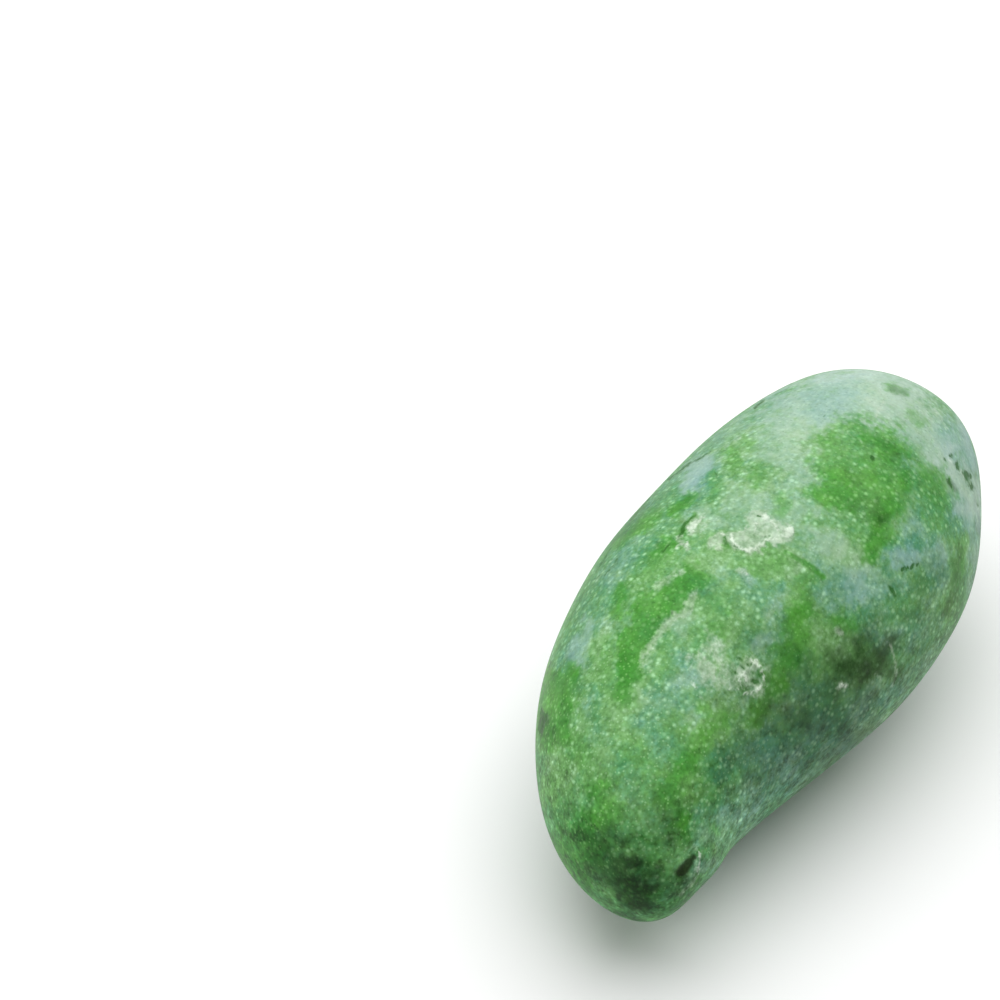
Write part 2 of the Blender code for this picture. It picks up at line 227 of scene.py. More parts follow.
SPOTTED = (
    (951, 455, 953, 457, 3, 0.9), (957, 464, 959, 469, 4.2, 1.05), (965, 474, 967, 478, 4.4, 1.05),
    (970, 484, 972, 490, 3.2, 0.9), (978, 503, 979, 506, 2.6, 0.8), (872, 459, 873, 460, 3.2, 1.5),
    (881, 517, 885, 520, 4.6, 1), (697, 750, 699, 749, 3, 0.9), (784, 552, 800, 562, 2.2, 0.2),
    (800, 562, 822, 575, 2.8, 0.3), (903, 569, 919, 564, 3.2, 1.1), (888, 586, 895, 597, 2.6, 1),
    (695, 516, 686, 523, 2.4, 0.85), (686, 523, 681, 532, 3, 1), (712, 451, 690, 464, 2.2, 0.7),
    (690, 464, 669, 479, 2.6, 0.7), (716, 473, 717, 476, 3, 0.7), (733, 545, 737, 548, 2.6, 0.7),
    (754, 535, 756, 539, 3, 0.7), (765, 538, 769, 537, 2.6, 0.7), (759, 517, 762, 517, 2.4, 0.8),
    (727, 540, 725, 546, 3, 0.7), (747, 664, 751, 665, 2.6, 0.8), (726, 680, 728, 681, 2.6, 0.9),
    (753, 682, 757, 683, 4, 1.1), (760, 677, 763, 675, 3, 0.9), (707, 657, 709, 658, 2.8, 0.9),
    (741, 684, 743, 686, 2.6, 0.6), (662, 552, 668, 545, 3, 0.8), (699, 577, 718, 590, 2.2, 0.4),
    (672, 600, 673, 602, 2.2, 0.8), (657, 617, 659, 619, 2.4, 0.8), (651, 604, 654, 603, 2.6, 0.8),
    (672, 613, 672, 614, 2, 0.8), (763, 401, 755, 407, 2.4, 0.8), (681, 532, 677, 538, 2.2, 0.7),
    (858, 640, 859, 641, 2, 0.5), (833, 628, 836, 627, 2.4, 0.6), (618, 560, 604, 576, 2.2, 0.6),
    (835, 400, 822, 420, 1.8, 0.4), (950, 482, 955, 490, 2.6, 0.4), (640, 568, 640, 569, 2.2, 0.5),
    (656, 490, 630, 521, 1.8, 0.6), (612, 548, 596, 572, 1.8, 0.6), (585, 590, 570, 620, 1.8, 0.5),
    (726, 538, 729, 547, 3, 0.7), (542, 711, 545, 719, 4.2, 1.3), (543, 721, 540, 731, 4.2, 1.2),
    (732, 670, 735, 676, 2.6, 0.7), (743, 690, 747, 688, 2.6, 0.7), (750, 672, 754, 674, 2.4, 0.7),
    (737, 658, 741, 660, 3, 0.8), (742, 665, 744, 668, 2.8, 0.8), (736, 670, 738, 673, 2.6, 0.8),
    (944, 459, 945, 460, 2.4, 0.9), (948, 480, 951, 486, 3, 0.9),
)
BEAK_SCAR = (
    (681, 873, 688, 863, 7.6, 1), (688, 863, 693, 857, 5.2, 0.9),
)

# All but the beak's scar also lie on the hidden side. Sharp marks have an edge, the others are soft.
SHOWN_MARKS = {
    "rubbed": RUBBED, "bloom_and_rim_reflection": BLOOM_AND_RIM_REFLECTION, "tealed": TEALED, "warmed": WARMED, "shaded": SHADED,
    "filmed": FILMED, "ridged": RIDGED, "scratched": SCRATCHED, "spotted": SPOTTED,
}
SHARP_MARKS = ("filmed", "ridged", "scratched", "spotted")

# Marks on the side that the photograph hides, strewn by a seeded draw: how many, the shortest
# and the longest stroke, the least and the most reach, and the strengths.
HIDDEN_SEED = 11
HIDDEN_MARKS = {
    "rubbed": (34, (0.002, 0.022), (0.002, 0.0055), (0.4, 1.0)),
    "bloom_and_rim_reflection": (26, (0.004, 0.030), (0.003, 0.0080), (0.3, 0.8)),
    "tealed": (12, (0.006, 0.024), (0.004, 0.0080), (0.5, 1.0)),
    "warmed": (10, (0.004, 0.018), (0.004, 0.0070), (0.4, 0.8)),
    "shaded": (12, (0.003, 0.018), (0.003, 0.0070), (0.3, 0.7)),
    "filmed": (9, (0.001, 0.008), (0.0010, 0.0040), (0.4, 0.8)),
    "ridged": (14, (0.001, 0.004), (0.0006, 0.0009), (0.5, 1.0)),
    "scratched": (8, (0.004, 0.012), (0.0004, 0.0006), (0.4, 0.8)),
    "spotted": (30, (0.0002, 0.0012), (0.0003, 0.0007), (0.5, 1.0)),
}
HIDDEN_LEAN = 0.5           # strokes keep within this angle of the fruit's length
FACING_FADE = (0.02, 0.10)  # how squarely the skin faces the camera where photographed marks end

# How the edges of marks are made uneven, and how they stand out of the skin.
RAGGED = ((0.0060, 0.22), (0.0024, 0.14), (0.0011, 0.08))  # size of the waves and their share
WANDER_WAVES = 8
WANDER_RATES = (0.7, 1.4)   # how far the waves of one size differ in it
SEEDS_PER_AXIS = 100
SEEDS_PER_METRE = 1e5
SOFT_RAGGED = 0.6           # how much of that shift a soft mark takes
SCAR_RAGGED = 0.35          # how much of the shift the beak's scar takes
SOFT_SPREAD = 1.2           # how far beyond its reach a soft mark ends
SOFT_UNION = 3.0            # how little soft marks add up where they overlap
MARK_RELIEF = {             # how far a mark at full strength stands out of the skin
    "filmed": 0.00007,
    "ridged": 0.00008,
    "scratched": -0.00004,
    "shaded": -0.00008,
}
RELIEF_ABOVE = 0.004        # the skin below this height keeps its shape, where the fruit rests

# The skin is made of named parts, which are values all over it. First the noises, about 0: size,
# detail and roughness.
SKIN_WAVES = {
    "broad": (0.022, 2.0, 0.55),
    "patchy": (0.0075, 2.5, 0.5),
    "mottled": (0.0034, 2.5, 0.55),
    "fine": (0.0019, 2.5, 0.55),
    "grain": (0.0008, 1.5, 0.5),
    "ragged": (0.0024, 5.0, 0.7),
    "rub_patches": (0.0055, 3.0, 0.6),
    "speck_patches": (0.012, 2.0, 0.55),
    "hue_broad": (0.016, 3.0, 0.55),
    "hue_patchy": (0.0032, 4.0, 0.65),
    "hue_fine": (0.0014, 2.0, 0.6),
}
STREAK_WAVE = (0.0040, 3.0, 0.6)
STREAK_STRETCH = (0.16, 1.0, 1.0)
WAVE_GAIN = 4.0             # makes a noise of 0 to 1 mostly fill -1 to 1

# Parts that follow another part: which, from, to, and what they are at those two.
REGIONS = {
    "tip": ("x", -0.070, -0.040, 1.0, 0.0),
    "dusty": ("x", -0.060, -0.020, 0.85, 0.45),
    "deep": ("z", 0.018, 0.050, 1.0, 0.0),
    "clear": ("z", 0.022, 0.035, 0.35, 1.0),
    "dim": ("z", 0.038, 0.058, 0.30, 0.0),
    "uneven": ("bloom_and_rim_reflection", 0.1, 0.8, 1.0, 0.2),
    "varied": ("bloom_and_rim_reflection", 0.2, 0.8, 1.0, 0.35),
    "calm": ("bloom_and_rim_reflection", 0.15, 0.75, 0.0, 1.0),
    "rub_kept": ("rub_patches", -0.9, 0.5, 0.68, 1.0),
    "specks_kept": ("speck_patches", -0.7, 0.4, 0.45, 1.0),
    "mid_green": ("broad", -0.6, 0.6, 0.0, 1.0),
    "light_green": ("patchy", -0.4, 0.8, 0.0, 0.5),
    "pale_film": ("fine", -0.8, 0.8, 0.0, 1.0),
    "collar": ("stem_distance", 0.0034, 0.0075, 1.0, 0.0),
    "root": ("stem_distance", 0.0030, 0.0037, 1.0, 0.0),
}

# Parts that are marks with a broken edge: the mark, the shares of the noises that break it, and
# the strengths at which it begins and is full. A mark fades out below the last value.
WORN_MARKS = {
    "rub": ("rubbed", {"ragged": 0.10, "fine": 0.07, "streaks": 0.12, "patchy": 0.10}, 0.05, 0.95),
    "spot": ("spotted", {"ragged": 0.14, "fine": 0.14, "grain": 0.20}, 0.15, 0.75),
    "film": ("filmed", {"ragged": 0.14, "grain": 0.10}, 0.05, 0.70),
    "ridge": ("ridged", {"fine": 0.16, "grain": 0.20}, 0.15, 0.70),
    "scratch": ("scratched", {"fine": 0.10, "grain": 0.16}, 0.05, 0.80),
    "scar": ("beak_scar", {"ragged": 0.10, "fine": 0.10, "grain": 0.16}, 0.15, 0.85),
}
MARK_FADE = 0.10

# Sums of parts in their shares. The part "plain" is 1 everywhere.
BLOOM = {"plain": 0.42, "bloom_and_rim_reflection": 0.42, "tip": -0.14}
BLOOM_NOISE = {"broad": 0.09, "patchy": 0.08, "streaks": 0.10, "fine": 0.07, "grain": 0.05}
BLOOM_NOISE_SIZE = {"plain": 1.0, "deep": 0.4}
BLOOM_LEFT = {"plain": 1.0, "rub": -0.92}
HUE_HEIGHT = {"z": 1.0, "hue_broad": 0.012}
HUE_NOISE = {"hue_patchy": 0.24, "hue_fine": 0.30}
HUE_MARKS = {"tealed": 0.60, "warmed": -0.7}
SPECK_CORE = {"plain": 0.06, "tip": -0.02}  # in cells, where a speck is full
SPECK_EDGE = {"plain": 0.43, "tip": -0.05}  # in cells, where it ends
SPECK_AT_TIP = {"plain": 1.0, "tip": -0.15}
SPECK_WHERE_RUBBED = {"plain": 1.0, "rub": -0.4}
SPECK_LOW_DOWN = {"plain": 1.0, "deep": 0.35}
PORE_SHARE = {"plain": 0.34, "deep": 0.15}
SHADE_SHARE = {"plain": 1.0, "fine": 0.30, "grain": 0.25}
CORK_LEFT = {"plain": 1.0, "spot": -0.90}
GRAIN = {"grain": 0.17, "fine": 0.16}
GRAIN_DEPTH = {"plain": 1.0, "deep": 1.5, "tip": 0.45, "shaded": 1.5, "calm": -0.65}
MOTTLING = {"dim": 1.0, "shaded": 0.24}
ROUGHNESS = {"plain": 0.40, "bloom": 0.25, "film": 0.20, "fine": 0.03}
HEIGHT = {
    "speck": 0.35, "fine": 0.10, "grain": 0.06, "film": 0.6, "ridge": 0.9, "spot": -0.8, "scratch": 0.3,
    "patchy": 0.3,
}

# How thickly the paint of a part covers where the part is full. Others cover wholly.
COVER = {"spot": 0.85, "film": 0.58, "ridge": 0.52, "scratch": 0.38, "scar": 0.90, "collar": 0.55}

BLUE_OF_HEIGHT = (0.016, 0.054, 0.60, 0.22)  # from, to, and how blue the wax is at those two
THICK_OF_BLOOM = (0.35, 0.95)
SPECK_CELL = 0.00172        # the cells that the specks sit in
SPECK_LIGHT = 0.44
SPECK_SHARE = 0.95
DUST_CELL = 0.00095
DUST_LIGHT = 0.34
PORE_CELL = 0.00120
PORE_TURN = (0.5, 0.8, 0.2)
PORE_DARKNESS = 0.55
DOT_OF_CELL = (0.10, 0.32, 1.0, 0.0)  # in cells, where dust or a pore is full and where it ends
# How bruises and painted shade darken the colour.
SHADE_TINT = (0.12, 0.17, 0.10, 1.0)
LOW_PATCHES = 0.22
DARKEST_GRAIN = 0.42
WAX_IOR = 1.33
SKIN_SPECULAR = 0.22
SKIN_BUMP = (0.00010, 0.9)  # how high, and how much of it shows

# Paints, from 0 to 255 as a picture shows them.
PAINTS = {
    "deep_green": (48, 124, 36), "mid_green": (66, 138, 42), "light_green": (94, 156, 64),
    "thin_warm_wax": (138, 178, 126), "thin_blue_wax": (94, 146, 146), "thick_warm_wax": (186, 203, 190),
    "thick_blue_wax": (153, 181, 193), "speck_on_green": (172, 236, 150), "speck_on_wax": (208, 244, 228),
    "dust_on_green": (160, 222, 130), "dust_on_wax": (204, 236, 220), "pore": (20, 62, 24),
    "spot": (36, 90, 26), "dim_film": (160, 184, 156), "pale_film": (194, 206, 190),
    "ridge": (214, 226, 210), "scratch": (186, 200, 180), "scar": (26, 38, 12),
    "collar": (160, 190, 120), "root": (52, 44, 26), "dark_fibre": (34, 22, 16),
    "light_fibre": (92, 62, 44), "fibre_blotch": (58, 52, 34),
}

# The stalk's stub: how far each part of its side stands out of the base, and its radius there.
STUB_PROFILE = (
    (-0.0016, 0.0027), (0.0000, 0.0029), (0.0007, 0.0032), (0.0013, 0.0031),
    (0.0019, 0.0026), (0.0023, 0.0018), (0.0024, 0.0009),
)
STUB_TOP = 0.0024
STUB_RINGS = 60
STUB_SECTORS = 96
STUB_SOFTENING = (1.0, 2.0, 3.0, 2.0, 1.0)  # weights that round off the profile's corners
STUB_LOBES = 5
STUB_LOBE_SHARE = 0.035
STUB_GRAIN = 0.00006        # height of the fibres' ridges
STUB_RIDGES = 23.0          # how many there are round it
RIDGE_CROWDING = (3.0, 4.0)  # how far they are shifted into bunches, and how many bunches
FINER_RIDGES = (0.6, 41.0, 1.0)  # share, how many round it, and start
FIBRE_NOISE = (0.0004, 4.0, 0.65)
FIBRE_STRETCH = (0.25, 1.0, 1.0)
FIBRE_RAMP = (0.30, 0.70)
FIBRE_BUMP = 0.00015
BLOTCH_NOISE = (0.0015, 3.0, 0.6)
BLOTCH_RAMP = (0.45, 0.75, 0.0, 0.6)
STALK_ROUGHNESS = (0.2, 0.8, 0.65, 0.9)

# The studio. A light's offset is how far right of, above and beyond the fruit's middle it is, as
# the camera sees it.
FLOOR_SIZE = 6.0
FLOOR_COLOUR = (0.86, 0.86, 0.86, 1.0)
FLOOR_ROUGHNESS = 0.9
WORLD_COLOUR = (1.0, 1.0, 1.0, 1.0)
WORLD_STRENGTH = 0.25
LIGHTS = (                  # name, offset, size and power in watts
    ("key", (0.08, 1.15, 0.32), 1.9, 26.7),
    ("fill", (-0.85, 0.50, -0.65), 0.8, 4.0),
)


def swing(turn, shares):
    return sum(share * np.cos((n + 1) * turn) for n, share in enumerate(shares))


def body(turn, angle):
    """A point of the bare form."""
    turn, angle = np.broadcast_arrays(turn, angle)
    width = HALF_WIDTH * np.sin(turn) * (1.0 + swing(turn, WIDTH_SWING))
    height = HALF_HEIGHT * np.sin(turn) * (1.0 + swing(turn, HEIGHT_SWING))
    up = np.sin(angle) * (1.0 + BACK_FULLNESS * np.cos(angle))
    x = LENGTH / 2.0 * np.cos(turn)
    y = swing(turn, SIDE_SWING) + width * np.cos(angle)
    z = HALF_HEIGHT + swing(turn, RISE_SWING) + height * up
    return np.stack([x, y, z], axis=-1)


def outward(turn, angle):
    """The direction straight out of the bare form."""
    along = body(turn + STEP, angle) - body(turn - STEP, angle)
    round_it = body(turn, angle + STEP) - body(turn, angle - STEP)
    normal = np.cross(along, round_it)
    return normal / np.linalg.norm(normal, axis=-1, keepdims=True)


def hump(distance):
    return np.exp(-distance ** 2)


def distance_to_line(points, first, last):
    """How far each point is from the straight line between two points, in any number of axes."""
    way = last - first
    share = np.clip((points - first) @ way / max(way @ way, TINY ** 2), 0.0, 1.0)
    return np.linalg.norm(points - first - share[..., None] * way, axis=-1)


def skin(turn, angle):
    """The form with its swells, the relief near the apex, and the stem's cavity and collar."""
    points = body(turn, angle)
    relief = np.zeros(points.shape[:-1])
    for height, waves, start in SWELLS:
        relief = relief + height * np.sin(points @ np.array(waves) + start) * np.sin(turn)
    for start, end, reach, height in RELIEF_LINES.values():
        relief = relief + height * hump(distance_to_line(points, body(*start), body(*end)) / reach)
    points = points + relief[..., None] * outward(turn, angle)
    middle = body(0.0, 0.0)
    distance = np.hypot(points[..., 1] - middle[1], points[..., 2] - middle[2])
    rim = -CAVITY_DEPTH * hump(distance / CAVITY_RADIUS)
    rim = rim + COLLAR_HEIGHT * hump((distance - COLLAR_RADIUS) / COLLAR_WIDTH)
    points[..., 0] += np.where(points[..., 0] > 0.0, rim, 0.0)
    return points


def ring_turns(angle):
    """The turn of every ring at every sector: circles beside the stem, plain sections further on."""
    edge = body(NEAR_END, angle) - body(NEAR_END, angle + np.pi)
    reach = np.hypot(edge[..., 1], edge[..., 2]) / 2.0 / np.sin(NEAR_END)
    even = np.linspace(0.0, np.pi, RINGS + 1)[:-1, None]
    warped = even + FINER_AT_MIDDLE * np.sin(2.0 * even)
    first = SOCKET_RADIUS / reach.mean()
    turns = first + warped * (1.0 - first / np.pi)
    fade = np.clip(1.0 - turns / CIRCLE_FADE, 0.0, 1.0) ** 2
    return turns * (1.0 + fade * (reach.mean() / reach - 1.0))


def add_mesh(name, vertices, faces):
    mesh = bpy.data.meshes.new(name)
    mesh.from_pydata([tuple(map(float, v)) for v in vertices], [], faces)
    mesh.validate()
    mesh.shade_smooth()
    piece = bpy.data.objects.new(name, mesh)
    bpy.context.collection.objects.link(piece)
    return piece


def tube_faces(rings, sectors):
    """Quads between rings, and a fan at each end: after the rings come the far and the near tip."""
    faces = []
    for i in range(rings - 1):
        for j in range(sectors):
            k = (j + 1) % sectors
            faces.append((i * sectors + j, (i + 1) * sectors + j, (i + 1) * sectors + k, i * sectors + k))
    far_tip = rings * sectors
    last = (rings - 1) * sectors
    faces += [(last + j, far_tip, last + (j + 1) % sectors) for j in range(sectors)]
    faces += [((j + 1) % sectors, far_tip + 1, j) for j in range(sectors)]
    return faces


def make_fruit():
    """The fruit's fine mesh, set in the box of the solid that it replaces."""
    even = np.linspace(0.0, 2.0 * np.pi, SECTORS, endpoint=False)[None, :]
    angle = even + FINER_ON_TOP * np.cos(even)
    rings = skin(ring_turns(angle), angle)
    apex = skin(np.array([np.pi - STEP]), np.array([0.0]))
    socket = rings[0].mean(axis=0) - np.array([SOCKET_DEPTH, 0.0, 0.0])
    vertices = np.concatenate([rings.reshape(-1, 3), apex, socket[None, :]])
    vertices[:, 2] -= vertices[:, 2].min() + FLAT_DEPTH
    vertices[:, 2] = np.maximum(vertices[:, 2], 0.0)
    low, high = (np.array(corner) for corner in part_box("fruit"))
    move = low[:2] - vertices[:, :2].min(axis=0)
    move[1] = (low[1] + high[1] - vertices[:, 1].min() - vertices[:, 1].max()) / 2.0
    vertices[:, :2] += move
    return add_mesh("mango_fruit", vertices, tube_faces(RINGS, SECTORS)), vertices


def camera_axes():
    heading = np.radians(CAMERA_HEADING)
    down = np.radians(CAMERA_DOWN)
    forward = np.array([np.cos(heading) * np.cos(down), np.sin(heading) * np.cos(down), -np.sin(down)])
    right = np.array([np.sin(heading), -np.cos(heading), 0.0])
    return right, np.cross(right, forward), forward


def to_photo(points):
    """Where points of the frame are in the photograph, in its pixels."""
    right, up, forward = camera_axes()
    offset = points - np.array(CAMERA_AT)
    depth = offset @ forward
    x = PHOTO_WIDTH / 2.0 + FOCAL_PIXELS * (offset @ right) / depth
    y = PHOTO_WIDTH / 2.0 - FOCAL_PIXELS * (offset @ up) / depth
    return np.stack([x, y], axis=-1)


def wander(points, size, seed):
    """Smooth seeded noise of about the given size, with a spread of 1 about 0."""
    draw = np.random.default_rng(seed)
    total = np.zeros(len(points))
    for _ in range(WANDER_WAVES):
        way = draw.normal(size=3)
        rate = 2.0 * np.pi / size * draw.uniform(*WANDER_RATES) / np.linalg.norm(way)
        total += np.sin(points @ way * rate + draw.uniform(0.0, 2.0 * np.pi))
    return total / np.sqrt(WANDER_WAVES / 2.0)


def ragged_shift(vertices, axes):
    """How each point is shifted, for a stroke of reach 1, so that its edge is ragged."""
    shifts = []
    for axis in range(axes):
        shift = 0.0
        for size, share in RAGGED:
            seed = SEEDS_PER_AXIS * axis + int(size * SEEDS_PER_METRE)
            shift = shift + share * wander(vertices, size, seed)
        shifts.append(shift)
    return np.stack(shifts, axis=-1)


def distance_to_stroke(points, shift, first, last):
    return distance_to_line(points + shift, np.array(first, float), np.array(last, float))


def strongest(points, shift, strokes):
    """At each point the strongest stroke: its strength on its line, falling to 0 at its reach."""
    best = np.zeros(len(points))
    for first, last, reach, strength in strokes:
        distance = distance_to_stroke(points, shift * reach, first, last)
        best = np.maximum(best, strength * np.clip(1.0 - distance / reach, 0.0, 1.0))
    return best


def blended(points, shift, strokes):
    """Soft strokes laid over each other, each falling smoothly to 0 somewhat beyond its reach."""
    total = np.zeros(len(points))
    for first, last, reach, strength in strokes:
        distance = distance_to_stroke(points, shift * reach * SOFT_RAGGED, first, last)
        near = np.clip(1.0 - (distance / reach / SOFT_SPREAD) ** 2, 0.0, 1.0)
        total += (strength * near ** 2) ** SOFT_UNION
    return np.minimum(total ** (1.0 / SOFT_UNION), 1.0)


def hidden_strokes(draw, rule, vertices, normals, hidden):
    """Strokes on the hidden side: each starts at a drawn vertex and runs roughly along the fruit."""
    count, lengths, reaches, strengths = rule
    strokes = []
    for start in draw.choice(hidden, size=count, replace=False):
        lean = draw.uniform(-HIDDEN_LEAN, HIDDEN_LEAN)
        normal = normals[start]
        along = np.array([1.0, 0.0, 0.0]) - normal * normal[0]
        along = along / max(np.linalg.norm(along), TINY)
        way = along * np.cos(lean) + np.cross(normal, along) * np.sin(lean)
        first = vertices[start]
        last = first + way * draw.uniform(*lengths)
        strokes.append((first, last, draw.uniform(*reaches), draw.uniform(*strengths)))
    return strokes


def strokes_of(rows):
    return [(row[0:2], row[2:4], row[4], row[5]) for row in rows]


def store(piece, name, values):
    attribute = piece.data.attributes.new(name=name, type="FLOAT", domain="POINT")
    attribute.data.foreach_set("value", np.asarray(values, dtype=np.float32))


def facing_camera(vertices, normals):
    """How squarely the skin faces the camera: 1 straight on, 0 edge on, less than 0 if it is hidden."""
    sight = vertices - np.array(CAMERA_AT)
    sight = sight / np.linalg.norm(sight, axis=-1, keepdims=True)
    return -(sight * normals).sum(axis=-1)


def distance_from_stub(vertices):
    """How far each point of the stem end is from the stub's middle line. The rest is taken as far off."""
    low, high = (np.array(corner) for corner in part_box("stem_stub"))
    middle = (low + high) / 2.0
    away = np.hypot(vertices[:, 1] - middle[1], vertices[:, 2] - middle[2])
    return np.where(vertices[:, 0] > 0.0, away, LENGTH)


def add_marks(piece, vertices):
    """Stores how strongly each kind of mark is present at each vertex, and gives some their relief."""
    normals = np.empty(vertices.shape)
    piece.data.vertex_normals.foreach_get("vector", normals.ravel())
    facing = facing_camera(vertices, normals)
    low, high = FACING_FADE
    seen = np.clip((facing - low) / (high - low), 0.0, 1.0)
    hidden = np.nonzero(facing < 0.0)[0]
    pixels = to_photo(vertices)
    pixel_shift = ragged_shift(vertices, 2)
    shift = ragged_shift(vertices, 3)
    draw = np.random.default_rng(HIDDEN_SEED)
    relief = np.zeros(len(vertices))
    for kind, rows in SHOWN_MARKS.items():
        lay = strongest if kind in SHARP_MARKS else blended
        shown = lay(pixels, pixel_shift, strokes_of(rows))
        strokes = hidden_strokes(draw, HIDDEN_MARKS[kind], vertices, normals, hidden)
        marked = shown * seen + lay(vertices, shift, strokes) * (1.0 - seen)
        store(piece, kind, marked)
        relief += MARK_RELIEF.get(kind, 0.0) * np.minimum(marked, 1.0)
    scar = blended(pixels, pixel_shift * SCAR_RAGGED, strokes_of(BEAK_SCAR))
    store(piece, "beak_scar", scar * seen)
    store(piece, "stem_distance", distance_from_stub(vertices))
    relief[vertices[:, 2] < RELIEF_ABOVE] = 0.0
    moved = vertices + relief[:, None] * normals
    piece.data.vertices.foreach_set("co", moved.ravel())
    piece.data.update()


def add_bake_map(piece):
    """A map that unrolls the fruit, with its seam underneath: round it across, and along it upwards."""
    mesh = piece.data
    layer = mesh.uv_layers.new(name="OFBake")
    for face in mesh.polygons:
        corners = [(i, mesh.loops[i].vertex_index) for i in face.loop_indices]
        columns = [(vertex + SECTORS // 4) % SECTORS for i, vertex in corners if vertex < RINGS * SECTORS]
        wraps = max(columns) - min(columns) > SECTORS // 2
        columns = [column + SECTORS if wraps and column < SECTORS // 2 else column for column in columns]
        middle = sum(columns) / len(columns)
        known = iter(columns)
        for i, vertex in corners:
            if vertex < RINGS * SECTORS:
                layer.data[i].uv = (next(known) / SECTORS, (vertex // SECTORS + 1) / (RINGS + 1))
            else:
                layer.data[i].uv = (middle / SECTORS, 1.0 if vertex == RINGS * SECTORS else 0.0)


class Nodes:
    """Short ways to add shader nodes to one material."""

    def __init__(self, name):
        self.material = bpy.data.materials.new(name)
        self.material.use_nodes = True
        self.tree = self.material.node_tree
        self.shader = self.tree.nodes["Principled BSDF"]
        self.place = self.add("ShaderNodeTexCoord").outputs["Object"]

    def add(self, kind, **settings):
        node = self.tree.nodes.new(kind)
        for key, value in settings.items():
            setattr(node, key, value)
        return node

    def feed(self, socket, value):
        if isinstance(value, bpy.types.NodeSocket):
            self.tree.links.new(value, socket)
        else:
            socket.default_value = value

    def math(self, operation, first, second=0.0, third=0.0, clamp=False):
        node = self.add("ShaderNodeMath", operation=operation, use_clamp=clamp)
        for socket, value in zip(node.inputs, (first, second, third)):
            self.feed(socket, value)
        return node.outputs[0]

    def times(self, first, *others):
        for other in others:
            first = self.math("MULTIPLY", first, other)
        return first

    def ramp(self, value, low, high, low_to=0.0, high_to=1.0, smooth=True):
        """Maps low..high to low_to..high_to, clamped, with soft ends if smooth."""
        kind = "SMOOTHSTEP" if smooth else "LINEAR"
        node = self.add("ShaderNodeMapRange", interpolation_type=kind)
        for socket, given in zip(node.inputs, (value, low, high, low_to, high_to)):
            self.feed(socket, given)
        return node.outputs["Result"]

    def mix(self, share, first, second, blend="MIX"):
        node = self.add("ShaderNodeMix", data_type="RGBA", blend_type=blend)
        self.feed(node.inputs["Factor"], share)
        self.feed(node.inputs["A"], first)
        self.feed(node.inputs["B"], second)
        return next(out for out in node.outputs if out.type == "RGBA")

    def attribute(self, name):
        return self.add("ShaderNodeAttribute", attribute_name=name).outputs["Fac"]

    def stretched(self, scale, turn=(0.0, 0.0, 0.0)):
        node = self.add("ShaderNodeMapping")
        node.inputs["Scale"].default_value = scale
        node.inputs["Rotation"].default_value = turn
        self.feed(node.inputs["Vector"], self.place)
        return node.outputs[0]

    def noise(self, size, detail, roughness, place=None):
        """Noise whose patches are about the given size, from 0 to 1 about 0.5."""
        node = self.add("ShaderNodeTexNoise")
        self.feed(node.inputs["Vector"], place or self.place)
        node.inputs["Scale"].default_value = 1.0 / size
        node.inputs["Detail"].default_value = detail
        node.inputs["Roughness"].default_value = roughness
        return node.outputs["Fac"]

    def cells(self, size, place=None):
        """How far the nearest of many strewn points is, in cells of the given size."""
        node = self.add("ShaderNodeTexVoronoi")
        self.feed(node.inputs["Vector"], place or self.place)
        node.inputs["Scale"].default_value = 1.0 / size
        return node.outputs["Distance"]

    def place_along(self, axis):
        node = self.add("ShaderNodeSeparateXYZ")
        self.feed(node.inputs[0], self.place)
        return node.outputs[axis]

    def bump(self, height, distance, strength=1.0):
        node = self.add("ShaderNodeBump")
        node.inputs["Strength"].default_value = strength
        node.inputs["Distance"].default_value = distance
        self.feed(node.inputs["Height"], height)
        return node.outputs[0]


class Skin(Nodes):
    """The skin's material, with its parts by name."""

    def __init__(self):
        super().__init__("mango_skin")
        self.parts = {"plain": 1.0, "x": self.place_along("X"), "z": self.place_along("Z")}
        for name, form in SKIN_WAVES.items():
            self[name] = self.wave(*form)
        self["streaks"] = self.wave(*STREAK_WAVE, self.stretched(STREAK_STRETCH))
        for name in (*SHOWN_MARKS, "beak_scar", "stem_distance"):
            self[name] = self.attribute(name)
        for name, (followed, *ends) in REGIONS.items():
            self[name] = self.ramp(self[followed], *ends)
        for name, (mark, shares, low, high) in WORN_MARKS.items():
            worn = self.ramp(self.total(shares, self[mark]), low, high)
            self[name] = self.times(worn, self.ramp(self[mark], 0.0, MARK_FADE))

    def __getitem__(self, name):
        return self.parts[name]

    def __setitem__(self, name, value):
        self.parts[name] = value

    def wave(self, *form):
        """Noise of that form centred on 0, for the most part within -1 to 1."""
        return self.math("MULTIPLY_ADD", self.noise(*form), WAVE_GAIN, -WAVE_GAIN / 2.0)

    def total(self, shares, start=0.0):
        """The start with each part added in its share."""
        for name, share in shares.items():
            start = self.math("MULTIPLY_ADD", self[name], share, start)
        return start

    def coat(self, colour, name, over=None):
        """Lays a colour over another where a part is: the given one, or else the paint of its name."""
        where = self.times(self[name], COVER[name]) if name in COVER else self[name]
        return self.mix(where, colour, over or paint(name))


def paint(name):
    """A paint as the linear colour that a shader takes."""
    def linear(part):
        part = part / 255.0
        return part / 12.92 if part <= 0.04045 else ((part + 0.055) / 1.055) ** 2.4
    return tuple(linear(part) for part in PAINTS[name]) + (1.0,)


def add_bloom(n):
    """How much of the pale wax bloom is left on the skin, with pale rims that are painted reflection."""
    n["rub"] = n.times(n["rub"], n["rub_kept"])
    uneven = n.times(n.total(BLOOM_NOISE), n.total(BLOOM_NOISE_SIZE), n["uneven"])
    bloom = n.total(BLOOM, uneven)
    n["bloom"] = n.math("MULTIPLY", bloom, n.total(BLOOM_LEFT), clamp=True)


